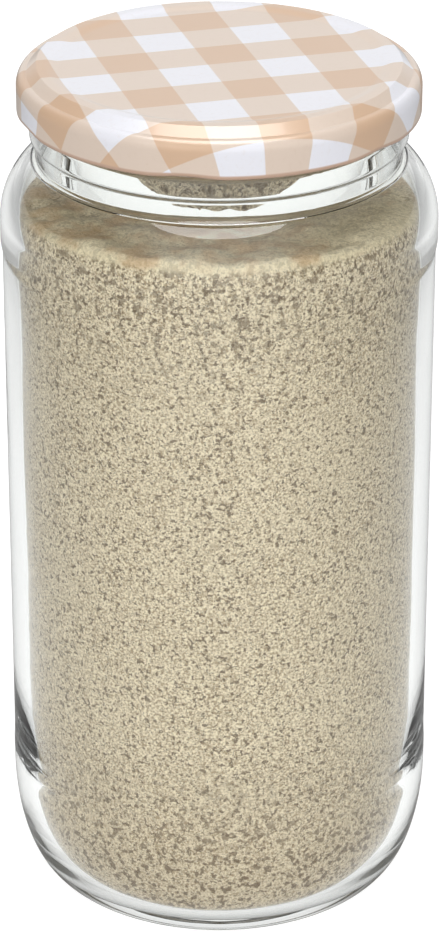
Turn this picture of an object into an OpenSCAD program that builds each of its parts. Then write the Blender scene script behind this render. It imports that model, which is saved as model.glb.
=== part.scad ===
// Glass storage jar of about one litre with a six-lug twist-off lid, holding a flour paste.
// Millimetres, +Z up, origin at the centre of the ring that the jar stands on.

/* [Jar body] */
// Radius of the plain wall between the two contact bands
panel_r = 45.8; // [42:0.1:52]
// Height of the straight body, up to the start of the shoulder
body_h = 153.8; // [110:0.1:190]
// Thickness of the side wall
wall = 3.2; // [2:0.1:4.5]
// How far the band at the foot stands proud of the plain wall
heel_band_out = 0.15; // [0.05:0.05:0.6]
// How far the band at the shoulder stands proud of the plain wall
shoulder_band_out = 0.4; // [0.05:0.05:0.8]
// Height of the contact bands
band_h = 4; // [2:0.5:8]
// Height over which a band runs out into the plain wall
band_run = 3; // [1:0.5:6]

/* [Foot] */
// Height of the rounded foot
heel_h = 25; // [15:0.5:35]
// How far the foot draws in, down to the ring the jar stands on
heel_in = 9.1; // [6:0.1:12]
// Width of the flat ring that the jar stands on
ring_w = 1.2; // [0.6:0.1:3]
// Height of the hollow pushed up under the base
pushup_h = 2.6; // [1:0.1:3.5]
// Thickness of the glass floor over the standing ring
floor_t = 4.4; // [4:0.1:8]
// Rise of the inside floor towards its centre
floor_rise = 1.2; // [0.2:0.1:2.5]
// How far the inside corner of the foot draws in
cavity_heel_in = 7; // [4:0.5:12]

/* [Shoulder] */
// Height of the shoulder's curve
shoulder_h = 16.6; // [10:0.1:24]
// How far inside the mouth the shoulder's curve would end
shoulder_tuck = 5.4; // [3:0.1:9]
// Thickness of the shoulder at its top
shoulder_t = 3; // [2:0.1:4]

/* [Neck] */
// Radius of the mouth
mouth_r = 35.5; // [32:0.1:37]
// Thickness of the glass at the rim
rim_w = 3.2; // [2.6:0.1:3.6]
// How far the bare neck under the bead is set back from the rim's outside
neck_in = 0.4; // [0.1:0.1:0.8]
// Height of the bare neck under the bead
neck_h = 3.5; // [2:0.1:6]
// How far the bead stands proud of the rim's outside
bead_out = 1; // [0.5:0.1:1.1]
// Height of the bead
bead_h = 5.5; // [4:0.1:7]
// Height of the rim above the bead
finish_h = 9.4; // [9:0.1:12]
// Round on the outside of the rim
rim_round = 1.2; // [0.4:0.1:1.3]
// Round on the inside of the rim
rim_in_round = 1.2; // [0.4:0.1:1.3]
// Round on the edges of the bead
bead_round = 1; // [0.4:0.1:1.3]
// Blend where the neck meets the shoulder
neck_blend = 1; // [0.4:0.1:1.6]

/* [Threads] */
// Number of thread starts, and of lugs on the lid
starts = 6; // [4:1:8]
// How far a thread stands proud of the neck
thread_out = 1.5; // [1.2:0.1:1.8]
// Radius of a thread's rounded section
thread_round = 1; // [0.7:0.1:1.2]
// Clear angle between two threads, wide enough for a lug, in degrees
thread_gap = 16; // [15:0.5:20]
// How much a thread comes down along its length
thread_drop = 0.9; // [0.2:0.1:1.4]

/* [Mould seam] */
// Direction of the mould seam on the neck, in degrees from +X
seam_angle = -60; // [-180:1:180]
// Height of the mould seam above the glass
seam_out = 0.12; // [0.05:0.01:0.25]
// Width of the mould seam
seam_w = 0.5; // [0.2:0.1:1]

/* [Lid] */
// Thickness of the tinplate
tin_t = 0.2; // [0.15:0.01:0.4]
// Height of the lid from its crest to its lower edge
lid_h = 10.15; // [9.7:0.05:10.8]
// Clearance between the threads and the rolled edge of the lid
lid_clear = 0.5; // [0.3:0.05:1]
// Radius of the rolled edge's section
curl_r = 0.75; // [0.6:0.05:1]
// Width of the crest over the rim of the glass
crest_w = 1.7; // [1.2:0.1:2.2]
// How far the centre panel lies below the crest
panel_drop = 0.55; // [0.2:0.05:0.9]
// How far the slope from the panel to the crest runs inwards
panel_run = 3; // [1:0.1:6]
// Height of the step outside the crest
step_h = 1.9; // [1.2:0.1:2.4]
// How far the step runs outwards
step_run = 2.1; // [1.6:0.1:2.4]
// Width of the flat ledge at the foot of the step
ledge_w = 0.3; // [0.2:0.05:0.5]
// Height of the round between the ledge and the skirt
corner_h = 2.5; // [1.2:0.1:3]

/* [Lugs] */
// Direction of one lug at rest, in degrees from +X
lug_angle = -99.5; // [-180:0.5:180]
// Angle that a lug spans, in degrees
lug_span = 13; // [8:0.5:14]
// Thickness of a lug
lug_t = 0.95; // [0.6:0.05:1.2]
// Clearance between a lug and the neck
lug_clear = 0.65; // [0.3:0.05:0.8]
// How far the lid's edge is drawn up at a lug
lug_rise = 0.65; // [0.3:0.05:0.7]
// How far a lug's underside lies below the drawn-up edge
lug_low = 0.15; // [0.1:0.05:0.25]
// Width over which the edge is drawn up
lug_dip_w = 17.6; // [12:0.1:24]
// Play between a lug and the end of its thread when the lid is shut
lug_play = 0.15; // [0.1:0.05:0.5]

/* [Gasket] */
// Thickness of the sealing ring under the crest
gasket_t = 1.05; // [0.8:0.05:1.4]
// How far the sealing ring reaches inside the mouth
gasket_in = 0.7; // [0.2:0.1:1.5]
// Gap between the rim and the sealing ring of a lid that is laid on
seat_gap = 0.1; // [0.05:0.05:0.3]
// Gap between the sealing ring and the tinplate
bond_gap = 0.08; // [0.05:0.01:0.2]

/* [Starter] */
// Height left free between the paste and the rim
headspace = 28.6; // [22:0.1:80]
// Rise of the paste's surface towards its centre
starter_rise = 0.8; // [0:0.1:3]
// Clearance between the paste and the glass
starter_clear = 0.3; // [0.2:0.05:0.6]

/* [Hidden] */
$fn = 96;

// Steps along a long curve, along a curve of the lid and along a small round
curve_n = 20;
lid_n = 12;
round_n = 6;

// Radii of the glass, from the body inwards
heel_r = panel_r + heel_band_out;
shoulder_r = panel_r + shoulder_band_out;
cavity_r = panel_r - wall;
ring_r = heel_r - heel_in;
finish_r = mouth_r + rim_w;
neck_r = finish_r - neck_in;
bead_r = finish_r + bead_out;
thread_r = finish_r + thread_out;
rim_mid_r = mouth_r + rim_w / 2;
shoulder_c = mouth_r - shoulder_tuck;

// Levels of the glass, from the shoulder upwards
function ellipse_z(r, a, b) = b * sqrt(1 - pow(r / a, 2));
neck_z = body_h + ellipse_z(neck_r - shoulder_c, shoulder_r - shoulder_c, shoulder_h);
bead_z = neck_z + neck_h;
bead_top_z = bead_z + bead_h;
rim_z = bead_top_z + finish_h;

// Radii and levels of the lid
lid_r = thread_r + lid_clear + 2 * curl_r;
crest_z = rim_z + seat_gap + gasket_t + bond_gap + tin_t;
lid_z = crest_z - lid_h;
crest_in_r = rim_mid_r - crest_w / 2;
crest_out_r = rim_mid_r + crest_w / 2;
step_z = crest_z - step_h;
step_r = crest_out_r + step_run;
corner_r = step_r + ledge_w;
crest_round = 0.5;
step_round = 0.45;
// Height of the joint between the skirt and the rolled edge over the roll's middle
curl_join_h = sqrt(pow(curl_r, 2) - pow(curl_r - tin_t, 2));

// Lugs and threads
lug_pitch = 360 / starts;
lug_z = lid_z + lug_rise - lug_low;
lug_round = lug_t / 3;
lug_r = finish_r + lug_clear;
thread_c_r = thread_r - thread_round;
thread_span = lug_pitch - thread_gap;
thread_cap = asin(thread_round / thread_c_r);
thread_mid_z = lug_z + lug_t + lug_play + thread_round + thread_drop / 2;
thread_tilt = asin(thread_drop / 2 / (thread_c_r * sin(thread_span / 2)));
// Radius of the level cylinder that draws up the edge at a lug
lug_dip_r = (pow(lug_dip_w / 2, 2) + pow(lug_rise, 2)) / (2 * lug_rise);

function unit(v) = v / norm(v);

// Points along a quarter ellipse about the centre c, from angle t0 to t1
function ellipse_arc(c, a, b, t0, t1, n = curve_n) =
    [for (i = [0:n]) let (t = t0 + (t1 - t0) * i / n) [c[0] + a * cos(t), c[1] + b * sin(t)]];

// Points of the round of radius r at the corner b, between its neighbours a and c
function fillet(a, b, c, r, n = round_n) =
    let (
        u = unit(a - b),
        w = unit(c - b),
        half = acos(u * w) / 2,
        o = b + unit(u + w) * (r / sin(half)),
        p = b + u * (r / tan(half)) - o,
        q = b + w * (r / tan(half)) - o,
        t0 = atan2(p[1], p[0]),
        turn = (atan2(q[1], q[0]) - t0 + 540) % 360 - 180
    )
    [for (i = [0:n]) o + r * [cos(t0 + turn * i / n), sin(t0 + turn * i / n)]];

// The points of a path with its inner corners rounded, each by its own radius
function rounded(path, radii) =
    [for (i = [1:len(path) - 2]) each radii[i - 1] == 0
        ? [path[i]]
        : fillet(path[i - 1], path[i], path[i + 1], radii[i - 1])];

// A smooth step between two levels, as points from radius r0 to radius r1
function eased(r0, z0, r1, z1, n = curve_n) =
    [for (i = [0:n]) let (t = i / n) [r0 + (r1 - r0) * t, z0 + (z1 - z0) * (1 - cos(180 * t)) / 2]];

// A path moved sideways by t, to its right-hand side
function moved_aside(path, t) =
    [for (i = [0:len(path) - 1])
        let (
            a = path[max(i - 1, 0)],
            b = path[min(i + 1, len(path) - 1)],
            d = unit(b - a)
        )
        path[i] + t * [d[1], -d[0]]];

// Outside of the neck, from the shoulder to the level where the rim's round begins
function neck_outside(out = 0) = rounded(
    [
        [neck_r + neck_blend + out, neck_z - neck_blend],
        [neck_r + out, neck_z],
        [neck_r + out, bead_z],
        [bead_r + out, bead_z + bead_round],
        [bead_r + out, bead_top_z],
        [finish_r + out, bead_top_z + bead_round / 2],
        [finish_r + out, rim_z]
    ],
    [neck_blend, bead_round / 2, bead_round, bead_round, bead_round / 2]
);

// Outside of the glass, from the centre of the base up to the rim
function glass_outside() = concat(
    ellipse_arc([0, 0], ring_r - ring_w, pushup_h, 90, 0),
    ellipse_arc([ring_r, heel_h], heel_in, heel_h, -90, 0),
    [
        [heel_r, heel_h + band_h],
        [panel_r, heel_h + band_h + band_run],
        [panel_r, body_h - band_h - band_run],
        [shoulder_r, body_h - band_h]
    ],
    ellipse_arc(
        [shoulder_c, body_h], shoulder_r - shoulder_c, shoulder_h,
        0, acos((neck_r + neck_blend - shoulder_c) / (shoulder_r - shoulder_c))
    ),
    neck_outside(),
    fillet([finish_r, bead_top_z], [finish_r, rim_z], [mouth_r, rim_z], rim_round)
);

// Inside of the glass or a skin at the distance gap within it, from the floor's centre up to a level
function cavity(gap, top_z) =
    let (
        c_r = cavity_r - cavity_heel_in,
        a = cavity_r - shoulder_c - gap,
        b = shoulder_h - shoulder_t - gap,
        level = min(1, (top_z - body_h) / b),
        top_t = min(asin(max(0, level)), acos((mouth_r - gap - shoulder_c) / a))
    )
    concat(
        eased(0, floor_t + floor_rise + gap, c_r, floor_t + gap),
        ellipse_arc([c_r, heel_h], cavity_heel_in - gap, heel_h - floor_t - gap, -90, 0),
        level > 0
            ? ellipse_arc([shoulder_c, body_h], a, b, 0, top_t)
            : [[cavity_r - gap, top_z]]
    );

module glass_thread() {
    rotate([thread_tilt, 0, 0]) {
        rotate([0, 0, thread_cap - thread_span / 2])
            rotate_extrude(angle = thread_span - 2 * thread_cap)
                translate([thread_c_r, 0])
                    circle(r = thread_round);
        for (side = [-1, 1])
            rotate([0, 0, side * (thread_span / 2 - thread_cap)])
                translate([thread_c_r, 0, 0])
                    sphere(r = thread_round);
    }
}

module mould_seam() {
    seam_span = 2 * asin(seam_w / 2 / bead_r);
    skin = [for (p = neck_outside(seam_out)) if (p[1] < bead_top_z + bead_round) p];
    rotate([0, 0, -seam_span / 2])
        rotate_extrude(angle = seam_span)
            polygon(concat(
                [[rim_mid_r, skin[0][1]]],
                skin,
                [[rim_mid_r, bead_top_z + bead_round]]
            ));
}

module glass_jar() {
    inside = cavity(0, rim_z);
    color([0.86, 0.92, 0.9, 0.35]) {
        rotate_extrude()
            polygon(concat(
                glass_outside(),
                fillet([finish_r, rim_z], [mouth_r, rim_z], [mouth_r, bead_z], rim_in_round),
                [for (i = [len(inside) - 1:-1:0]) inside[i]]
            ));
        for (i = [0:starts - 1])
            rotate([0, 0, lug_angle - lug_pitch / 2 + i * lug_pitch])
                translate([0, 0, thread_mid_z])
                    glass_thread();
        for (half_turn = [0, 180])
            rotate([0, 0, seam_angle + half_turn])
                mould_seam();
    }
}

// Outside of the lid's tinplate, from the panel's centre to the top of the rolled edge
function lid_outside() = concat(
    [[0, crest_z - panel_drop]],
    eased(crest_in_r - panel_run, crest_z - panel_drop, crest_in_r, crest_z, lid_n),
    rounded(
        [[crest_in_r, crest_z], [crest_out_r, crest_z], [step_r, step_z], [corner_r, step_z]],
        [crest_round, step_round]
    ),
    ellipse_arc([corner_r, step_z - corner_h], lid_r - corner_r, corner_h, 90, 0, lid_n),
    [[lid_r, lid_z + curl_r + curl_join_h]]
);

// Section of the rolled edge, from the skirt's outside round to where it meets the skirt's inside
function curl_path() =
    let (last_t = 360 - asin(curl_join_h / curl_r))
    [for (i = [0:lid_n - 1])
        [lid_r - curl_r, lid_z + curl_r] + curl_r * [cos(last_t * i / lid_n), -sin(last_t * i / lid_n)]];

module lug() {
    rotate([0, 0, -lug_span / 2])
        rotate_extrude(angle = lug_span)
            polygon(concat(
                [[lid_r - curl_r, lug_z]],
                [[lid_r - curl_r, lug_z + lug_t]],
                fillet([lid_r, lug_z + lug_t], [lug_r, lug_z + lug_t], [lug_r, lug_z], lug_round),
                fillet([lug_r, lug_z + lug_t], [lug_r, lug_z], [lid_r, lug_z], lug_round)
            ));
}

module lid_shell() {
    outside = lid_outside();
    inside = moved_aside(outside, tin_t);
    color("burlywood") {
        difference() {
            rotate_extrude()
                polygon(concat(outside, curl_path(), [for (i = [len(inside) - 1:-1:0]) inside[i]]));
            for (i = [0:starts - 1])
                rotate([0, 0, lug_angle + i * lug_pitch])
                    translate([lid_r - lug_dip_w / 3, 0, lid_z + lug_rise - lug_dip_r])
                        rotate([0, 90, 0])
                            cylinder(r = lug_dip_r, h = lug_dip_w / 2, $fn = 360);
        }
        for (i = [0:starts - 1])
            rotate([0, 0, lug_angle + i * lug_pitch])
                lug();
    }
}

module lid_gasket() {
    bottom_z = rim_z + seat_gap;
    top_z = bottom_z + gasket_t;
    in_r = mouth_r - gasket_in;
    panel_under_z = top_z - panel_drop;
    slope = step_h / step_run;
    out_r = crest_out_r + (top_z - bottom_z) / slope;
    color("whitesmoke")
        rotate_extrude()
            polygon([
                [in_r, bottom_z],
                [out_r - bond_gap, bottom_z],
                [crest_out_r - bond_gap, top_z],
                [crest_in_r, top_z],
                [in_r, panel_under_z]
            ]);
}

module starter() {
    fill_z = rim_z - headspace;
    skin = cavity(starter_clear, fill_z);
    edge = skin[len(skin) - 1];
    color("tan")
        rotate_extrude()
            polygon(concat(skin, eased(edge[0], edge[1], 0, edge[1] + starter_rise, round_n)));
}

glass_jar();
lid_shell();
lid_gasket();
starter();
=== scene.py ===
# %% [markdown]
# Sourdough starter jar: a clear glass jar with a check-printed twist-off lid, full of wet flour paste.
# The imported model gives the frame, in metres. Every piece below is made where that model has it, and
# rides on the body that carries it.

# %% Load the frame
import math

import bpy
import numpy as np
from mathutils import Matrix, Vector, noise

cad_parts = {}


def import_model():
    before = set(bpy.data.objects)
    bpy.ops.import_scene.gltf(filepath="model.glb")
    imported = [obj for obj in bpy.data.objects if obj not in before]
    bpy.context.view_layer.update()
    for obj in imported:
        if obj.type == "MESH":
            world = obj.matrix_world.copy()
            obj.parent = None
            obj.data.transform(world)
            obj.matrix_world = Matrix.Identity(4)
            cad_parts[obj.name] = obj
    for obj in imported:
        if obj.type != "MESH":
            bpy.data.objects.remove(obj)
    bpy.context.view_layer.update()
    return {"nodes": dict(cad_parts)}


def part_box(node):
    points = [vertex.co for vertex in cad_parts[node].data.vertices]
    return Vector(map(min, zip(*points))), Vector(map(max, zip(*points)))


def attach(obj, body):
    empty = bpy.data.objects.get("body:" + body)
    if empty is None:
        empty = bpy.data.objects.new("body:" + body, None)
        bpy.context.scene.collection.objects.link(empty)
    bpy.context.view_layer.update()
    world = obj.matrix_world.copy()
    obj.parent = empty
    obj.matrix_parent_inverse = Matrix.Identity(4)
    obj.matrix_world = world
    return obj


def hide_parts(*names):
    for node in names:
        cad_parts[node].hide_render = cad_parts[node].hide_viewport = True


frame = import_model()
MM = 0.001

# %% [markdown]
# The jar's sizes, in millimetres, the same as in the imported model. A jar is a body of revolution, so its
# whole shape is one line drawn in a half plane: distance from the axis and height. Only what breaks the
# round form, such as the threads and the mould seam, is added to that line as a small push outwards.

# %% Sizes of the glass
PANEL_R, HEEL_R, SHOULDER_R, WALL = 45.8, 45.95, 46.2, 3.2
RING_R, RING_W, PUSHUP_H, HEEL_H, HEEL_IN = 36.85, 1.2, 2.6, 25.0, 9.1
BAND_H, BAND_RUN, BODY_H = 4.0, 3.0, 153.8
SHOULDER_C, SHOULDER_H, SHOULDER_T = 30.1, 16.6, 3.0
MOUTH_R, RIM_W, NECK_R, BEAD_R, THREAD_R = 35.5, 3.2, 38.3, 39.7, 40.2
NECK_H, BEAD_H, FINISH_H = 3.5, 5.5, 9.4
NECK_BLEND, BEAD_ROUND, RIM_ROUND, LIP_H = 1.0, 1.0, 1.2, 6.0
FLOOR_T, FLOOR_RISE, CAVITY_IN = 4.4, 1.2, 7.0
FINISH_R = MOUTH_R + RIM_W
CAVITY_R = PANEL_R - WALL
NECK_Z = BODY_H + SHOULDER_H * math.sqrt(1 - ((NECK_R - SHOULDER_C) / (SHOULDER_R - SHOULDER_C)) ** 2)
BEAD_Z = NECK_Z + NECK_H
BEAD_TOP_Z = BEAD_Z + BEAD_H
RIM_Z = BEAD_TOP_Z + FINISH_H
model_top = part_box("glass_jar")[1].z / MM
print(f"rim at {RIM_Z:.2f} mm; the model has it at {model_top:.2f} mm")

# %% [markdown]
# A line could be drawn by hand, point by point, but then no size could be changed later. Five small tools
# draw it instead: part of an ellipse, a smooth S, a path with rounded corners, a path with more points
# where the form will be pushed, and a path freed of points that lie on top of each other.


# %% Line tools
def ellipse(c, a, b, t0, t1, steps):
    """Points of an ellipse about c, half as wide as a and half as high as b, from t0 to t1 degrees."""
    return [
        (c[0] + a * math.cos(math.radians(t)), c[1] + b * math.sin(math.radians(t)))
        for t in np.linspace(t0, t1, steps + 1)
    ]


def eased(a, b, steps):
    """Points of a smooth S from a to b."""
    return [
        (a[0] + (b[0] - a[0]) * t, a[1] + (b[1] - a[1]) * (1 - math.cos(math.pi * t)) / 2)
        for t in np.linspace(0, 1, steps + 1)
    ]


def rounded(path, radii, steps=6):
    """The path with its inner corners rounded, each by its own radius."""
    points = [path[0]]
    for a, b, c, radius in zip(path, path[1:], path[2:], radii):
        a, b, c = (np.array(p, float) for p in (a, b, c))
        u, w = (a - b) / np.linalg.norm(a - b), (c - b) / np.linalg.norm(c - b)
        half = math.acos(np.clip(u @ w, -1, 1)) / 2
        run = radius / math.tan(half)
        for t in np.linspace(0, 1, steps + 1):
            p = (1 - t) ** 2 * (b + u * run) + 2 * t * (1 - t) * b + t * t * (b + w * run)
            points.append(tuple(p))
    return points + [path[-1]]


def dense(path, step):
    """The path with points added so that none lie further apart than step."""
    out = [path[0]]
    for a, b in zip(path, path[1:]):
        n = max(1, math.ceil(math.dist(a, b) / step))
        out += [(a[0] + (b[0] - a[0]) * i / n, a[1] + (b[1] - a[1]) * i / n) for i in range(1, n + 1)]
    return out


def tidy(path, least=0.01):
    """The path without points that lie on top of each other."""
    out = [path[0]]
    for p in path[1:]:
        if math.dist(p, out[-1]) > least:
            out.append(p)
    return out


# %% [markdown]
# Turning a line round the axis gives the mesh. Both ends of the line lie on the axis, where one shared
# point closes the skin. A push function may then move each point, which is how threads, lug humps and the
# uneven paste come in without breaking the closed skin. A Screw modifier could turn the line too, but the
# pushes need each point's angle and height, so the mesh is written here.


# %% Turn a line into a closed skin
ON_AXIS = 1e-6


def revolve(name, path, segments, push):
    """A closed mesh, and its line as used. push takes a point's number, radius, angle and height."""
    path = tidy(path)
    rings, verts = [], []
    turns = [2 * math.pi * j / segments for j in range(segments)]
    for i, (r, z) in enumerate(path):
        ring = []
        for phi in turns if r > ON_AXIS else [0.0]:
            p = push(i, r, phi, z)
            ring.append(len(verts))
            verts.append((p[0] * math.cos(p[1]) * MM, p[0] * math.sin(p[1]) * MM, p[2] * MM))
        rings.append(ring)
    faces = []
    for low, high in zip(rings, rings[1:]):
        for j in range(segments):
            k = (j + 1) % segments
            if len(low) == 1:
                faces.append((low[0], high[k], high[j]))
            elif len(high) == 1:
                faces.append((low[j], low[k], high[0]))
            else:
                faces.append((low[j], low[k], high[k], high[j]))
    mesh = bpy.data.meshes.new(name)
    mesh.from_pydata(verts, [], faces)
    mesh.validate()
    mesh.polygons.foreach_set("use_smooth", [True] * len(mesh.polygons))
    obj = bpy.data.objects.new(name, mesh)
    bpy.context.scene.collection.objects.link(obj)
    print(f"{name}: {len(verts)} points, {len(faces)} faces")
    return obj, path


# %% [markdown]
# Threads on a blown jar are rounded ridges, a little lower at the end where the lug stops. The two halves
# of the mould leave a fine upright line on the neck. Both are pushes of the neck's outside: a bell-shaped
# ridge along a sloped line, and a very narrow low one. The threads lie just above the closed lid's lugs, so
# the lid's sizes are named here too.

# %% Threads and mould seam
STARTS, THREAD_SPAN, THREAD_DROP, THREAD_HALF = 6, 44.0, 0.9, 1.0
LUG_ANGLE, SEAM_ANGLE, SEAM_OUT, SEAM_HALF = -99.5, -60.0, 0.12, 0.35
LID_R, LID_H, TIN_T, CURL_R = 42.2, 10.15, 0.2, 0.75
SEAT_GAP, GASKET_T, BOND_GAP, LUG_PLAY = 0.1, 1.05, 0.08, 0.15
CREST_Z = RIM_Z + SEAT_GAP + GASKET_T + BOND_GAP + TIN_T
LID_Z = CREST_Z - LID_H
LUG_UP, LUG_T, LUG_R, LUG_SPAN = 0.5, 0.95, 39.35, 13.0
LUG_Z = LID_Z + LUG_UP
THREAD_Z = LUG_Z + LUG_T + LUG_PLAY + THREAD_HALF + THREAD_DROP / 2
THREAD_FADE, THREAD_FOOT, THREAD_CURVE = 4.0, 1.25, 1.2
print(f"{STARTS} threads at {THREAD_Z:.1f} mm, lid's edge at {LID_Z:.1f} mm")


def smooth(t):
    """A smooth step from 0 to 1 as t goes from 0 to 1."""
    t = min(1.0, max(0.0, t))
    return t * t * (3 - 2 * t)


def nearest(angle, first, pitch):
    """How far an angle in degrees lies from the nearest of evenly spaced places."""
    return (angle - first + pitch / 2) % pitch - pitch / 2


def neck_push(r, phi, z):
    """How far the glass stands out of the neck's round form at this place."""
    deg = math.degrees(phi)
    along = nearest(deg, LUG_ANGLE - 180 / STARTS, 360 / STARTS)
    middle = THREAD_Z + THREAD_DROP * along / THREAD_SPAN
    ends = smooth((THREAD_SPAN / 2 - abs(along)) / THREAD_FADE)
    across = abs(z - middle) / (THREAD_HALF * THREAD_FOOT)
    ridge = (THREAD_R - FINISH_R) * ends * math.cos(min(1.0, across) * math.pi / 2) ** THREAD_CURVE
    arc = math.radians(abs(nearest(deg, SEAM_ANGLE, 180))) * r
    seam = SEAM_OUT * math.exp(-((arc / SEAM_HALF) ** 2)) * (NECK_Z < z < BEAD_TOP_Z + BEAD_ROUND / 2)
    return max(ridge, 0.0) + seam


# %% [markdown]
# The glass: outside up to the rim, over it and down the inside, as one closed skin. An outside alone would be
# a solid lump of glass. The wall is real, 3.2 mm thick, so light bends in it as it should: near both edges of
# the jar it can't leave through the inner face, which mirrors the surroundings there. Blown glass is never
# quite even inside, and a low slow wave on the inner wall softens what is seen through the shoulder.


# %% The glass in section
NECK_STEP = 0.35


def glass_path():
    """The whole section, and how many of its points come before the inside of the wall."""
    shoulder_w = SHOULDER_R - SHOULDER_C
    shoulder_end = math.degrees(math.acos((NECK_R + NECK_BLEND - SHOULDER_C) / shoulder_w))
    outside = (
        ellipse((0, 0), RING_R - RING_W, PUSHUP_H, 90, 0, steps=28)
        + ellipse((RING_R, HEEL_H), HEEL_IN, HEEL_H, -90, 0, steps=40)
        + eased((HEEL_R, HEEL_H + BAND_H), (PANEL_R, HEEL_H + BAND_H + BAND_RUN), steps=8)
        + dense([(PANEL_R, HEEL_H + BAND_H + BAND_RUN), (PANEL_R, BODY_H - BAND_H - BAND_RUN)], step=14)
        + [(PANEL_R + (SHOULDER_R - PANEL_R) * smooth(t), BODY_H - BAND_H - BAND_RUN * (1 - t))
           for t in np.linspace(0, 1, 9)]
        + ellipse((SHOULDER_C, BODY_H), shoulder_w, SHOULDER_H, 0, shoulder_end, steps=32)
    )
    neck = rounded(
        [(NECK_R + NECK_BLEND, NECK_Z - NECK_BLEND), (NECK_R, NECK_Z), (NECK_R, BEAD_Z),
         (BEAD_R, BEAD_Z + BEAD_ROUND), (BEAD_R, BEAD_TOP_Z), (FINISH_R, BEAD_TOP_Z + BEAD_ROUND / 2),
         (FINISH_R, RIM_Z), (MOUTH_R, RIM_Z), (MOUTH_R, RIM_Z - LIP_H)],
        [NECK_BLEND, BEAD_ROUND / 2, BEAD_ROUND, BEAD_ROUND, BEAD_ROUND / 2, RIM_ROUND, RIM_ROUND],
    )
    neck = dense(neck, NECK_STEP)
    a, b = CAVITY_R - SHOULDER_C, SHOULDER_H - SHOULDER_T
    inner_end = math.degrees(math.acos((MOUTH_R - SHOULDER_C) / a))
    inside = (
        ellipse((SHOULDER_C, BODY_H), a, b, inner_end, 0, steps=28)
        + dense([(CAVITY_R, BODY_H), (CAVITY_R, HEEL_H)], step=12)
        + ellipse((CAVITY_R - CAVITY_IN, HEEL_H), CAVITY_IN, HEEL_H - FLOOR_T, 0, -90, steps=28)
        + eased((CAVITY_R - CAVITY_IN, FLOOR_T), (0, FLOOR_T + FLOOR_RISE), steps=16)
    )
    return outside + neck + inside, len(tidy(outside + neck))


glass_line, outside_count = glass_path()
print(f"glass section: {len(glass_line)} points")

# %% Glass jar
JAR_SEGMENTS = 300
FORMED_R, FORMED_FROM_Z, FORMED_TO_Z = FINISH_R - 0.6, NECK_Z - 0.5, RIM_Z - 1
WAVE_FROM_R, WAVE_OUT, WAVE_ROUND, WAVE_RISE = MOUTH_R + 1, 0.12, 2.2, 26


def glass_push(i, r, phi, z):
    """Threads and seam on the neck's outside, and a slow wave on the inner wall."""
    if i < outside_count and r > FORMED_R and FORMED_FROM_Z < z < FORMED_TO_Z:
        return r + neck_push(r, phi, z), phi, z
    if i >= outside_count and r > WAVE_FROM_R:
        at = Vector((math.cos(phi) * WAVE_ROUND, math.sin(phi) * WAVE_ROUND, z / WAVE_RISE))
        return r + WAVE_OUT * noise.noise(at), phi, z
    return r, phi, z


jar, _ = revolve("jar_glass", glass_line, JAR_SEGMENTS, glass_push)
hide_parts("glass_jar")
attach(jar, "jar")

# %% [markdown]
# The paste fills the jar to the shoulder and keeps 0.3 mm away from the glass all round. Paste that touches
# glass is seen right out to the jar's edges, and the gap of air is what keeps the clear band that the
# photograph shows there. Its top is uneven, a little higher towards the front, with lumps and pits. They
# could be sculpted or simulated, but fractal noise is enough for them and is quickly changed.

# %% The paste in section
GAP, FILL_Z = 0.3, 157.9
EDGE_W, EDGE_RISE, EDGE_ROUND, TOP_RISE = 1.2, 0.5, 0.4, 0.8
PASTE_A, PASTE_B = CAVITY_R - SHOULDER_C - GAP, SHOULDER_H - SHOULDER_T - GAP


def paste_path():
    """The paste's section: its skin along the glass, and its top."""
    top_t = math.degrees(math.asin((FILL_Z - BODY_H) / PASTE_B))
    heel_r = CAVITY_R - CAVITY_IN
    side = (
        eased((0, FLOOR_T + FLOOR_RISE + GAP), (heel_r, FLOOR_T + GAP), steps=16)
        + ellipse((heel_r, HEEL_H), CAVITY_IN - GAP, HEEL_H - FLOOR_T - GAP, -90, 0, steps=28)
        + dense([(CAVITY_R - GAP, HEEL_H), (CAVITY_R - GAP, BODY_H)], step=6)
        + ellipse((SHOULDER_C, BODY_H), PASTE_A, PASTE_B, 0, top_t, steps=10)
    )
    edge = side[-1]
    corner = (edge[0] - EDGE_W, FILL_Z + EDGE_RISE)
    top = rounded([edge, corner, (0, FILL_Z + TOP_RISE)], [EDGE_ROUND], steps=4)
    return side, dense(top, step=1.0)


side, top = paste_path()
side_count = len(tidy(side))
print(f"paste section: {len(side)} points along the glass, {len(top)} across the top")

# %% Starter paste
PASTE_SEGMENTS = 240
LIFT_ZONE, FRONT_LIFT, TOP_SINK = 2.5, 1.6, 0.4
LUMP_W, LUMP_H, PIT_W, PIT_H, CALM_W = 9.0, 1.1, 2.6, 0.35, 4.0
LUMP_SLICE, PIT_SLICE, HIGHEST_LEVEL = 3.1, 7.7, 0.98


def paste_push(i, r, phi, z):
    """Lumps on the top, and a contact line that runs higher at the front."""
    if z < FILL_Z - LIFT_ZONE:
        return r, phi, z
    x, y = r * math.cos(phi), r * math.sin(phi)
    share = smooth((z - (FILL_Z - LIFT_ZONE)) / LIFT_ZONE)
    lift = -FRONT_LIFT * y / CAVITY_R - TOP_SINK
    if i >= side_count:
        lumps = noise.fractal(Vector((x / LUMP_W, y / LUMP_W, LUMP_SLICE)), 0.8, 2.0, 4)
        pits = noise.noise(Vector((x / PIT_W, y / PIT_W, PIT_SLICE)))
        lift += (LUMP_H * lumps + PIT_H * min(0.0, pits)) * smooth((CAVITY_R - r) / CALM_W)
    new_z = z + share * lift
    level = min(HIGHEST_LEVEL, max(0.0, (new_z - BODY_H) / PASTE_B))
    return min(r, SHOULDER_C + PASTE_A * math.sqrt(1 - level * level)), phi, new_z


paste, _ = revolve("starter_paste", side + top, PASTE_SEGMENTS, paste_push)
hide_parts("starter")
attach(paste, "jar")

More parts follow.
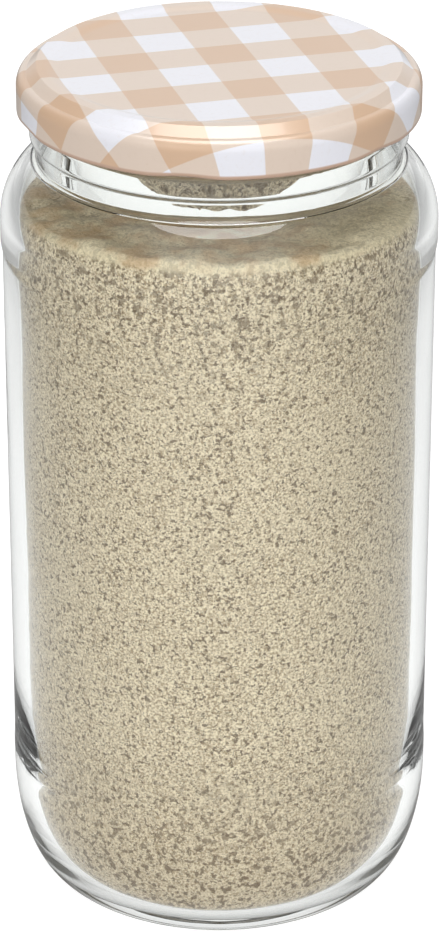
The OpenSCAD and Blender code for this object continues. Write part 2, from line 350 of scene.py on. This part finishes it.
# %% [markdown]
# The lid is pressed from tinplate 0.2 mm thick that was printed while flat. The pressing bends the print
# down over the crest and skirt but hardly stretches it, so a point keeps its distance from the centre
# measured along the sheet. Each point stores that flat place, and the check print reads it.

# %% The lid in section
CREST_IN, CREST_OUT, PANEL_RUN, PANEL_DROP = 36.25, 37.95, 3.0, 0.55
STEP_R, STEP_H, CORNER_H = 40.05, 1.9, 2.5
CREST_ROUND, STEP_ROUND, LEDGE_W, CENTRE_R, CURL_RISE, CURL_TURN = 0.5, 0.45, 0.3, 4, 0.6, 310
LEDGE_R = STEP_R + LEDGE_W


def lid_path():
    """The lid's section in three runs: printed outside, rolled edge and inside."""
    panel_z, step_z, curl_z = CREST_Z - PANEL_DROP, CREST_Z - STEP_H, LID_Z + CURL_R
    outside = (
        [(0, panel_z)]
        + dense([(CENTRE_R, panel_z), (CREST_IN - PANEL_RUN, panel_z)], step=3)
        + eased((CREST_IN - PANEL_RUN, panel_z), (CREST_IN, CREST_Z), steps=14)
        + rounded([(CREST_IN, CREST_Z), (CREST_OUT, CREST_Z), (STEP_R, step_z), (LEDGE_R, step_z)],
                  [CREST_ROUND, STEP_ROUND])
        + ellipse((LEDGE_R, step_z - CORNER_H), LID_R - LEDGE_R, CORNER_H, 90, 0, steps=14)
        + dense([(LID_R, step_z - CORNER_H), (LID_R, curl_z + CURL_RISE)], step=0.5)
    )
    outside = tidy(outside)
    line = np.array(outside)
    along = np.gradient(line, axis=0)
    along /= np.linalg.norm(along, axis=1)[:, None]
    inner = line + TIN_T * np.stack([along[:, 1], -along[:, 0]], 1)
    inner[0] = (0, panel_z - TIN_T)
    curl = ellipse((LID_R - CURL_R, curl_z), CURL_R, CURL_R, 0, -CURL_TURN, steps=22)
    return outside, curl, [tuple(p) for p in inner[::-1]]


outside, curl, inner = lid_path()
print(f"lid section: {len(outside)} points outside, {len(curl)} on the rolled edge")

# %% Lid shell
LID_SEGMENTS = 360
HUMP_HALF, HUMP_RISE, HUMP_REACH = 12.0, 0.62, 2.6


def lid_push(i, r, phi, z):
    """The rolled edge is drawn up a little over each lug."""
    away = nearest(math.degrees(phi), LUG_ANGLE, 360 / STARTS)
    hump = math.cos(min(1.0, abs(away) / HUMP_HALF) * math.pi / 2) ** 2
    reach = smooth(1 - (z - LID_Z) / (CURL_R * 2 + HUMP_REACH))
    return r, phi, z + HUMP_RISE * hump * reach


lid, lid_line = revolve("lid_shell_printed", outside + curl + inner, LID_SEGMENTS, lid_push)

# %% [markdown]
# Where a point lay on the flat sheet can't be read from its final place alone, because the skirt and the
# rolled edge run back over the same distance from the axis. So it is stored here, as attributes that a
# material can read: the place on the sheet, and whether the point is printed, rolled or inside.

# %% Store each point's place on the flat sheet
ON_PRINT, ON_ROLL, ON_INSIDE = 1.0, 0.5, 0.0
flat = np.zeros((len(lid.data.vertices), 3), np.float32)
zone = np.zeros(len(lid.data.vertices), np.float32)
run, vertex = 0.0, 0
for i, (r, z) in enumerate(lid_line):
    if 0 < i < len(outside) + len(curl):
        run += math.dist(lid_line[i], lid_line[i - 1])
    printed = ON_PRINT if i < len(outside) else ON_ROLL if i < len(outside) + len(curl) else ON_INSIDE
    for j in range(LID_SEGMENTS if r > ON_AXIS else 1):
        phi = 2 * math.pi * j / LID_SEGMENTS
        flat[vertex] = (run * math.cos(phi), run * math.sin(phi), 0)
        zone[vertex] = printed
        vertex += 1
lid.data.attributes.new("print_flat", "FLOAT_VECTOR", "POINT").data.foreach_set("vector", flat.ravel())
lid.data.attributes.new("print_zone", "FLOAT", "POINT").data.foreach_set("value", zone)
print(f"sheet from the centre to the rolled edge: {run:.1f} mm")

# %% [markdown]
# Six lugs are folded in from the rolled edge, and turn in under the threads. They could be six meshes, or
# one with an Array modifier turned by an empty. Here one lug is modelled, in its first place, and a Geometry
# Nodes tree repeats it round the axis, so that the number of lugs stays one value.

# %% One lug
LUG_BEVEL, LUG_STEPS = 0.3, 14


def lug_mesh():
    """A lug in its first place: a bevelled bar that follows the rolled edge."""
    back, top_z = LID_R - CURL_R, LUG_Z + LUG_T
    corners = [(back, LUG_Z), (LUG_R + LUG_BEVEL, LUG_Z), (LUG_R, LUG_Z + LUG_BEVEL),
               (LUG_R, top_z - LUG_BEVEL), (LUG_R + LUG_BEVEL, top_z), (back, top_z)]
    verts, faces = [], []
    for k in range(LUG_STEPS + 1):
        phi = math.radians(LUG_ANGLE + LUG_SPAN * (k / LUG_STEPS - 0.5))
        verts += [(r * math.cos(phi) * MM, r * math.sin(phi) * MM, z * MM) for r, z in corners]
    n = len(corners)
    for k in range(LUG_STEPS):
        for c in range(n):
            d = (c + 1) % n
            faces.append((k * n + c, k * n + d, (k + 1) * n + d, (k + 1) * n + c))
    faces.append(tuple(range(n))[::-1])
    faces.append(tuple(LUG_STEPS * n + c for c in range(n)))
    mesh = bpy.data.meshes.new("lid_lugs")
    mesh.from_pydata(verts, [], faces)
    return mesh


first_lug = lug_mesh()
print(f"one lug: {len(first_lug.polygons)} faces")

# %% [markdown]
# A material, the world and a Geometry Nodes tree are all nodes with joined sockets. Written out in full,
# each node takes several lines. The class below only shortens them, so that a tree reads as a list of steps:
# add places a node, put fills or joins a socket, and the others are nodes that are used again and again.


# %% Node helpers
class Nodes:
    """Short names for placing and joining the nodes of one tree."""

    def __init__(self, tree):
        self.tree = tree

    def add(self, kind, **values):
        """A new node, with the given properties."""
        node = self.tree.nodes.new(kind)
        for key, value in values.items():
            setattr(node, key, value)
        return node

    def put(self, value, socket):
        """Joins another node's output to the socket, or sets the socket to a plain value."""
        if hasattr(value, "is_output"):
            self.tree.links.new(value, socket)
        else:
            socket.default_value = value

    def math(self, operation, *values):
        """The result of a Math node."""
        node = self.add("ShaderNodeMath", operation=operation)
        for value, socket in zip(values, node.inputs):
            self.put(value, socket)
        return node.outputs[0]

    def mix(self, share, a, b):
        """Colour a, which turns into colour b as share goes from 0 to 1, by the node's colour sockets."""
        node = self.add("ShaderNodeMix", data_type="RGBA")
        for value, place in ((share, 0), (a, 6), (b, 7)):
            self.put(value, node.inputs[place])
        return node.outputs[2]

    def step(self, value, low, high):
        """A smooth step from 0 at low to 1 at high. It falls where low is the larger of the two."""
        node = self.add("ShaderNodeMapRange", interpolation_type="SMOOTHSTEP")
        self.put(value, node.inputs["Value"])
        self.put(low, node.inputs["From Min"])
        self.put(high, node.inputs["From Max"])
        return node.outputs[0]

    def split(self, vector):
        """The outputs X, Y and Z of a vector."""
        node = self.add("ShaderNodeSeparateXYZ")
        self.put(vector, node.inputs[0])
        return node.outputs


def inputs(tree, **kinds):
    """Gives a tree named inputs of the given kinds, and says by which identifier each is set."""
    made = {}
    for name, kind in kinds.items():
        socket = tree.interface.new_socket(name, in_out="INPUT", socket_type="NodeSocket" + kind)
        made[name] = socket.identifier
    return made


# %% [markdown]
# The tree makes as many points as there are lugs, all on the axis, and places its mesh on each one, turned
# by the point's number times the pitch. Then it makes the copies real and gives them their finish, because
# copies that aren't real are lost when the jar is exported.


# %% A tree that repeats a mesh round the axis
def ring_tree():
    """The tree, with the identifiers of its inputs."""
    tree = bpy.data.node_groups.new("repeat_round_axis", "GeometryNodeTree")
    sockets = inputs(tree, Geometry="Geometry", Count="Int", Finish="Material")
    tree.interface.new_socket("Geometry", in_out="OUTPUT", socket_type="NodeSocketGeometry")
    n = Nodes(tree)
    start, end = n.add("NodeGroupInput"), n.add("NodeGroupOutput")
    pitch = n.math("DIVIDE", 2 * math.pi, start.outputs["Count"])
    angle = n.math("MULTIPLY", n.add("GeometryNodeInputIndex").outputs["Index"], pitch)
    turn = n.add("ShaderNodeCombineXYZ")
    n.put(angle, turn.inputs["Z"])
    points = n.add("GeometryNodeMeshLine")
    n.put((0, 0, 0), points.inputs["Offset"])
    n.put(start.outputs["Count"], points.inputs["Count"])
    place = n.add("GeometryNodeInstanceOnPoints")
    n.put(points.outputs["Mesh"], place.inputs["Points"])
    n.put(start.outputs["Geometry"], place.inputs["Instance"])
    n.put(turn.outputs["Vector"], place.inputs["Rotation"])
    real = n.add("GeometryNodeRealizeInstances")
    n.put(place.outputs["Instances"], real.inputs["Geometry"])
    paint = n.add("GeometryNodeSetMaterial")
    n.put(real.outputs["Geometry"], paint.inputs["Geometry"])
    n.put(start.outputs["Finish"], paint.inputs["Material"])
    n.put(paint.outputs["Geometry"], end.inputs["Geometry"])
    return tree, sockets


ring, ring_inputs = ring_tree()
print(f"{ring.name}: {len(ring.nodes)} nodes, inputs {list(ring_inputs)}")

# %% [markdown]
# Finishes. Colours are written as they look on a screen, 0 to 255, and turned to linear light here, because
# a shader adds up light and not screen values. Painted pictures could give the detail too, but noise that
# reads each point's place on the object needs no unwrapping and shows no seam.


# %% Finish helpers
def linear(r, g, b):
    """A screen colour, 0 to 255, as the linear colour that a socket takes."""
    channel = [v / 255 for v in (r, g, b)]
    return tuple(v / 12.92 if v <= 0.04045 else ((v + 0.055) / 1.055) ** 2.4 for v in channel) + (1.0,)


class Finish(Nodes):
    """The nodes of one material, with its shader and its output at hand."""

    def __init__(self, name):
        self.material = bpy.data.materials.new(name)
        self.material.use_nodes = True
        super().__init__(self.material.node_tree)
        self.shader = self.tree.nodes["Principled BSDF"]
        self.out = self.tree.nodes["Material Output"]

    def give(self, value, name):
        """Sets or joins a socket of the shader."""
        self.put(value, self.shader.inputs[name])

    def place(self):
        """Each point's place on the object, in metres."""
        return self.add("ShaderNodeTexCoord").outputs["Object"]

    def noise(self, where, scale, detail=3.0, rough=0.5):
        """Fractal noise from 0 to 1, with as many waves in one unit of where as the scale says."""
        node = self.add("ShaderNodeTexNoise")
        self.put(where, node.inputs["Vector"])
        self.put(scale, node.inputs["Scale"])
        self.put(detail, node.inputs["Detail"])
        self.put(rough, node.inputs["Roughness"])
        return node.outputs[0]

    def layer(self, under, colour, mask, strength):
        """The colour laid over what is under it, where the mask is on."""
        return self.mix(self.math("MULTIPLY", mask, strength), under, colour)

    def bump(self, height, strength, distance):
        """Small unevenness of the surface; distance is its height in metres."""
        node = self.add("ShaderNodeBump")
        self.put(strength, node.inputs["Strength"])
        self.put(distance, node.inputs["Distance"])
        self.put(height, node.inputs["Height"])
        self.give(node.outputs[0], "Normal")

    def end(self, shader=None):
        """The finished material, which shows the given shader instead of its own."""
        if shader:
            self.put(shader.outputs[0], self.out.inputs["Surface"])
        print(f"{self.material.name}: {len(self.tree.nodes)} nodes")
        return self.material


# %% [markdown]
# Clear flint glass: no roughness, the index of soda-lime glass, a breath of grey-green and a very faint
# ripple. Light that bends in a jar falls on the paste in grainy spots that a short render can't clear. So
# shadow rays pass straight through, and the lamps light the paste evenly.

# %% Glass finish
GLASS_TINT, GLASS_SHADE = (0.955, 0.972, 0.96, 1), (0.95, 0.97, 0.96, 1)
GLASS_INDEX, RIPPLE_SCALE = 1.5, 55


def glass_finish():
    n = Finish("flint_glass")
    n.give(GLASS_TINT, "Base Color")
    n.give(0.0, "Roughness")
    n.give(GLASS_INDEX, "IOR")
    n.give(1.0, "Transmission Weight")
    n.bump(n.noise(n.place(), RIPPLE_SCALE, detail=2), strength=0.06, distance=0.0006)
    clear = n.add("ShaderNodeBsdfTransparent")
    n.put(GLASS_SHADE, clear.inputs["Color"])
    both, light = n.add("ShaderNodeMixShader"), n.add("ShaderNodeLightPath")
    n.put(light.outputs["Is Shadow Ray"], both.inputs[0])
    n.put(n.shader.outputs[0], both.inputs[1])
    n.put(clear.outputs[0], both.inputs[2])
    return n.end(both)


jar.data.materials.append(glass_finish())

# %% [markdown]
# The paste: a beige body with fine dark bran specks, pores that get coarser low down and near the top, and
# paler smears where it was dragged along the glass. It is darker towards the bottom. The exposed top is
# painted paler, as painted light where the lid shades it, with a thin orange crust in places. Each of these
# is one layer of colour over the last, switched on by a noise or by height.

# %% Paste colours and scales
PASTE_DARK, PASTE_PALE, SMEAR = linear(176, 152, 118), linear(255, 240, 212), linear(236, 220, 192)
PORE, PIT, BRAN = linear(112, 90, 62), linear(104, 80, 50), linear(96, 78, 58)
LOW_DARKER, TOP_PAINTED_LIGHT, CRUST = linear(150, 124, 86), linear(252, 236, 202), linear(196, 146, 92)
SMEAR_SCALE, CRUST_SCALE, PIT_SCALE = 45, 110, 700
PORE_SCALE, BODY_SCALE, BRAN_SCALE = 1150, 2000, 2600
LOW_FROM, LOW_FULL, HIGH_FROM, HIGH_FULL, HIGH_SHARE = 0.055, 0.012, 0.12, 0.15, 0.7
EXPOSED_FROM, EXPOSED_FULL = (FILL_Z - 1.0) * MM, (FILL_Z + 0.5) * MM
print(f"body grain about {1000 / BODY_SCALE:.1f} mm, pores about {1000 / PORE_SCALE:.1f} mm")


# %% Paste finish
def paste_finish():
    n = Finish("starter_paste")
    where = n.place()
    height = n.split(where)["Z"]
    low = n.step(height, LOW_FROM, LOW_FULL)
    high = n.step(height, HIGH_FROM, HIGH_FULL)
    coarse = n.math("MAXIMUM", low, n.math("MULTIPLY", high, HIGH_SHARE))
    body = n.noise(where, BODY_SCALE, rough=0.65)
    smears = n.step(n.noise(where, SMEAR_SCALE, detail=4, rough=0.6), 0.4, 0.7)
    pores = n.step(n.noise(where, PORE_SCALE, detail=2), 0.43, 0.35)
    pits = n.math("MULTIPLY", n.step(n.noise(where, PIT_SCALE, detail=2), 0.47, 0.36), coarse)
    bran = n.step(n.noise(where, BRAN_SCALE, detail=1), 0.62, 0.7)
    exposed = n.step(height, EXPOSED_FROM, EXPOSED_FULL)
    crust = n.math("MULTIPLY", exposed, n.step(n.noise(where, CRUST_SCALE), 0.45, 0.62))
    colour = n.mix(n.step(body, 0.34, 0.64), PASTE_DARK, PASTE_PALE)
    colour = n.layer(colour, SMEAR, smears, strength=0.22)
    colour = n.layer(colour, PORE, pores, strength=0.85)
    colour = n.layer(colour, PIT, pits, strength=0.9)
    colour = n.layer(colour, BRAN, bran, strength=0.6)
    # Darker towards the bottom.
    colour = n.layer(colour, LOW_DARKER, low, strength=0.2)
    # Painted light: the exposed top is made paler where the lid shades it.
    colour = n.layer(colour, TOP_PAINTED_LIGHT, exposed, strength=0.6)
    colour = n.layer(colour, CRUST, crust, strength=0.5)
    n.give(colour, "Base Color")
    n.give(0.6, "Roughness")
    relief = n.math("SUBTRACT", n.math("MULTIPLY", body, 0.5), n.math("MAXIMUM", pores, pits))
    n.bump(relief, strength=0.45, distance=0.0003)
    return n.end()


paste.data.materials.append(paste_finish())

# %% [markdown]
# The check print is two sets of stripes at right angles on the flat sheet. Every second stripe is on; where
# both sets are on, the colour is deeper, and where neither is, the white shows. A picture of a check would
# do, but it blurs when seen close, and a rule doesn't. The group below makes the stripes across one
# direction, each with a narrow soft edge as ink has, and is used twice.

# %% Stripe group
CHECK_TURN, CHECK_PITCH, CHECK_A, CHECK_B = 0.271, 10.53, -34.05, 31.48
INK_EDGE = 0.012


def stripe_group():
    """Mask of every second stripe across one direction of the sheet."""
    tree = bpy.data.node_groups.new("printed_stripe", "ShaderNodeTree")
    inputs(tree, Flat="Vector", Across="Vector", Pitch="Float", Offset="Float")
    tree.interface.new_socket("Mask", in_out="OUTPUT", socket_type="NodeSocketFloat")
    n = Nodes(tree)
    start, end = n.add("NodeGroupInput"), n.add("NodeGroupOutput")
    along = n.add("ShaderNodeVectorMath", operation="DOT_PRODUCT")
    n.put(start.outputs["Flat"], along.inputs[0])
    n.put(start.outputs["Across"], along.inputs[1])
    moved = n.math("SUBTRACT", along.outputs["Value"], start.outputs["Offset"])
    number = n.math("DIVIDE", moved, start.outputs["Pitch"])
    wave = n.math("PINGPONG", n.math("SUBTRACT", number, 0.5), 1.0)
    n.put(n.step(wave, 0.5 - INK_EDGE, 0.5 + INK_EDGE), end.inputs["Mask"])
    return tree


stripes = stripe_group()
print(f"stripes {CHECK_PITCH} mm wide, turned by {math.degrees(CHECK_TURN):.1f} degrees")

# %% [markdown]
# The lid's finish: white lacquer with two sets of beige stripes under a clear coat, a little mottled where
# the ink lies unevenly. The rolled edge was bent after printing and shows a deeper tone, and the inside has
# a plain cream lacquer. Three materials could do that, but one material that reads each point's stored zone
# turns softly from one tone to the next.

# %% Printed tinplate finish
LACQUER, ONE_INK, BOTH_INKS = linear(243, 243, 250), linear(229, 210, 194), linear(219, 185, 155)
MOTTLE, ROLLED_EDGE, INSIDE = linear(206, 180, 152), linear(205, 172, 150), linear(226, 220, 206)
MOTTLE_SCALE, DENT_SCALE, SMUDGE_SCALE = 0.9, 0.5, 0.12
CLEAN_ROUGHNESS, SMUDGE_ROUGHNESS, ZONE_EDGE = 0.24, 0.16, 0.05


def printed_check(n, flat):
    """The lacquer with both sets of stripes."""
    c, s = math.cos(CHECK_TURN), math.sin(CHECK_TURN)
    masks = []
    for across, offset in (((c, s, 0), CHECK_A), ((-s, c, 0), CHECK_B)):
        stripe = n.add("ShaderNodeGroup", node_tree=stripes)
        n.put(flat, stripe.inputs["Flat"])
        n.put(across, stripe.inputs["Across"])
        n.put(CHECK_PITCH, stripe.inputs["Pitch"])
        n.put(offset, stripe.inputs["Offset"])
        masks.append(stripe.outputs["Mask"])
    colour = n.mix(n.math("MAXIMUM", *masks), LACQUER, ONE_INK)
    return n.mix(n.math("MULTIPLY", *masks), colour, BOTH_INKS)


def tin_finish():
    n = Finish("printed_tinplate")
    flat = n.add("ShaderNodeAttribute", attribute_name="print_flat").outputs["Vector"]
    part = n.add("ShaderNodeAttribute", attribute_name="print_zone").outputs["Fac"]
    mottle = n.step(n.noise(flat, MOTTLE_SCALE, detail=4, rough=0.6), 0.5, 0.75)
    colour = n.layer(printed_check(n, flat), MOTTLE, mottle, strength=0.10)
    colour = n.mix(n.step(part, ON_PRINT - ZONE_EDGE, ON_ROLL + ZONE_EDGE), colour, ROLLED_EDGE)
    colour = n.mix(n.step(part, ON_ROLL - ZONE_EDGE, ON_INSIDE + ZONE_EDGE), colour, INSIDE)
    n.give(colour, "Base Color")
    smudges = n.noise(flat, SMUDGE_SCALE)
    n.give(n.math("MULTIPLY_ADD", smudges, SMUDGE_ROUGHNESS, CLEAN_ROUGHNESS), "Roughness")
    n.give(0.5, "Coat Weight")
    n.give(0.12, "Coat Roughness")
    n.bump(n.noise(flat, DENT_SCALE, detail=2), strength=0.05, distance=0.0002)
    return n.end()


tin = tin_finish()
lid.data.materials.append(tin)

# %% [markdown]
# The seal is a ring of cream compound that was poured into the lid and cured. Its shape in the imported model
# is right, so the model's own mesh stays and only gets this finish: satin, slightly spotted and uneven.

# %% Sealing compound finish
COMPOUND_DARK, COMPOUND_PALE, SPOT_SCALE = linear(222, 214, 198), linear(234, 228, 216), 400


def gasket_finish():
    n = Finish("sealing_compound")
    spots = n.noise(n.place(), SPOT_SCALE, detail=2)
    n.give(n.mix(n.step(spots, 0.4, 0.7), COMPOUND_DARK, COMPOUND_PALE), "Base Color")
    n.give(0.5, "Roughness")
    n.bump(spots, strength=0.2, distance=0.0002)
    return n.end()


gasket = frame["nodes"]["lid_gasket"]
gasket.data.materials.clear()
gasket.data.materials.append(gasket_finish())

# %% [markdown]
# Now the lugs have their finish, and the tree can run. The modifier is given the number of lugs and the
# tinplate, its result is taken as a plain mesh, and the modifier goes. The lugs stay a piece of their own
# beside the shell, and both stand for the model's lid shell and move with the lid.

# %% Make the lugs real
lugs = bpy.data.objects.new("lid_lugs", first_lug)
bpy.context.scene.collection.objects.link(lugs)
modifier = lugs.modifiers.new("repeat", "NODES")
modifier.node_group = ring
modifier[ring_inputs["Count"]] = STARTS
modifier[ring_inputs["Finish"]] = tin
graph = bpy.context.evaluated_depsgraph_get()
made = bpy.data.meshes.new_from_object(lugs.evaluated_get(graph))
lugs.modifiers.clear()
lugs.data = made
print(f"lugs: {len(made.polygons)} faces")
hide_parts("lid_shell")
for piece in (lid, lugs):
    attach(piece, "lid")

# %% [markdown]
# A white ground. More lamp light would turn it white, but bleach the jar with it. Instead its surface is
# grey, which keeps the shadow, and it glows for the camera's rays alone. What the glass shows of it glows
# too, but not right under the jar, which is a painted shade of the jar there, and less far out at the sides,
# a painted shade that draws the darker lines of the glass.

# %% Ground
GROUND_HALF, GROUND_GREY, GROUND_GLOW = 3.0, (0.35, 0.35, 0.35, 1), 0.85
SHADE_R, CLEAR_R, SIDE_FROM, SIDE_FULL, SIDE_GLOW = 0.018, 0.052, 0.4, 0.09, 0.25


def ground_finish():
    n = Finish("white_ground")
    n.give(GROUND_GREY, "Base Color")
    n.give(0.9, "Roughness")
    away = n.add("ShaderNodeVectorMath", operation="LENGTH")
    n.put(n.place(), away.inputs[0])
    # Painted shade: the glow seen through the glass is left out right under the jar and weakened out at the
    # sides.
    from_under = n.step(away.outputs["Value"], SHADE_R, CLEAR_R)
    beside = n.step(n.math("ABSOLUTE", n.split(n.place())["X"]), SIDE_FROM, SIDE_FULL)
    clear = n.math("MULTIPLY", from_under, n.math("MULTIPLY_ADD", beside, 1 - SIDE_GLOW, SIDE_GLOW))
    light = n.add("ShaderNodeLightPath")
    through = n.math("MULTIPLY", light.outputs["Is Transmission Ray"], clear)
    seen = n.math("MAXIMUM", light.outputs["Is Camera Ray"], through)
    glow, total = n.add("ShaderNodeEmission"), n.add("ShaderNodeAddShader")
    n.put(n.math("MULTIPLY", seen, GROUND_GLOW), glow.inputs["Strength"])
    n.put(n.shader.outputs[0], total.inputs[0])
    n.put(glow.outputs[0], total.inputs[1])
    return n.end(total)


def ground():
    mesh = bpy.data.meshes.new("ground")
    far = GROUND_HALF
    mesh.from_pydata([(-far, -far, 0), (far, -far, 0), (far, far, 0), (-far, far, 0)], [], [(0, 1, 2, 3)])
    mesh.materials.append(ground_finish())
    obj = bpy.data.objects.new("ground", mesh)
    bpy.context.scene.collection.objects.link(obj)


ground()

# %% [markdown]
# Soft round lamps light the jar from the front at both sides and from behind. A lamp that the glass or the
# lid mirrors shows as a hard white disc, so these three are hidden from gloss. One more lamp overhead does
# the opposite: it is only mirrored, which gives the soft sheen on top of the lid and the shoulder.

# %% Lamps
AIM = Vector((0, 0, 0.1))


def lamp(name, place, size, power, sheen=False):
    """A soft round lamp. A sheen lamp is seen only in gloss, and the others only light the surfaces."""
    light = bpy.data.lights.new(name, "AREA")
    light.shape, light.size, light.energy = "DISK", size, power
    obj = bpy.data.objects.new(name, light)
    bpy.context.scene.collection.objects.link(obj)
    obj.location = place
    obj.visible_glossy, obj.visible_diffuse, obj.visible_transmission = sheen, not sheen, False
    obj.rotation_euler = (AIM - Vector(place)).to_track_quat("-Z", "Y").to_euler()
    print(f"{name}: {power} W, {size} m across")


lamp("key", (-0.7, -1.0, 0.75), size=0.7, power=7.4)
lamp("fill", (0.9, -0.75, 0.45), size=0.8, power=4.3)
lamp("back", (0.2, 0.9, 1.2), size=0.8, power=4.0)
lamp("overhead_sheen", (0, -0.12, 1.25), size=0.9, power=13.0, sheen=True)

# %% [markdown]
# The world is what lies all round. The camera sees it white. Gloss and glass see a light tent with a dark
# flag at either side, which draws the dark lines at the neck, as glass is lit in a studio. All other light
# comes evenly from a mid grey.

# %% World
TENT, FLAG, ROOM, WHITE = (0.95, 0.95, 0.95, 1), (0.08, 0.08, 0.07, 1), (0.55, 0.55, 0.55, 1), (1, 1, 1, 1)
FLAG_FROM, FLAG_FULL = 0.3, 0.85


def world():
    sky = bpy.data.worlds.new("studio")
    bpy.context.scene.world = sky
    sky.use_nodes = True
    n = Nodes(sky.node_tree)
    way, light = n.add("ShaderNodeTexCoord").outputs["Generated"], n.add("ShaderNodeLightPath")
    side = n.step(n.math("ABSOLUTE", n.split(way)["X"]), FLAG_FROM, FLAG_FULL)
    sharp = n.math("MAXIMUM", light.outputs["Is Transmission Ray"], light.outputs["Is Glossy Ray"])
    colour = n.mix(sharp, ROOM, n.mix(side, TENT, FLAG))
    colour = n.mix(light.outputs["Is Camera Ray"], colour, WHITE)
    n.put(colour, n.tree.nodes["Background"].inputs["Color"])
    print(f"world: {len(n.tree.nodes)} nodes")


world()

# %% [markdown]
# The photograph looks down at the jar through a long lens. A camera could be turned by eye until the picture
# looks alike, but the ovals of the lid and the base show every degree.

# %% Camera
CAMERA_AT, CAMERA_DOWN, FOCAL_PIXELS, PICTURE_H = (0.00017, -0.7579, 0.4610), 25.785, 3869.5, 931
camera = bpy.data.objects.new("camera", bpy.data.cameras.new("camera"))
bpy.context.scene.collection.objects.link(camera)
camera.location = CAMERA_AT
camera.rotation_euler = (math.radians(90 - CAMERA_DOWN), 0, 0)
camera.data.lens = camera.data.sensor_width * FOCAL_PIXELS / PICTURE_H
bpy.context.scene.camera = camera
bpy.context.scene.view_settings.view_transform = "Standard"
print(f"camera: {camera.data.lens:.0f} mm lens, looking down by {CAMERA_DOWN:.1f} degrees")

# %% [markdown]
# Light runs a long way inside a glass wall by total reflection. A path that runs out of bounces ends in
# black, so the glass gets many of them, at the price of a slower render.

# %% Bounces for the glass
BOUNCES = 24
light_paths = bpy.context.scene.cycles
light_paths.max_bounces = light_paths.glossy_bounces = light_paths.transmission_bounces = BOUNCES
print(f"up to {BOUNCES} bounces")
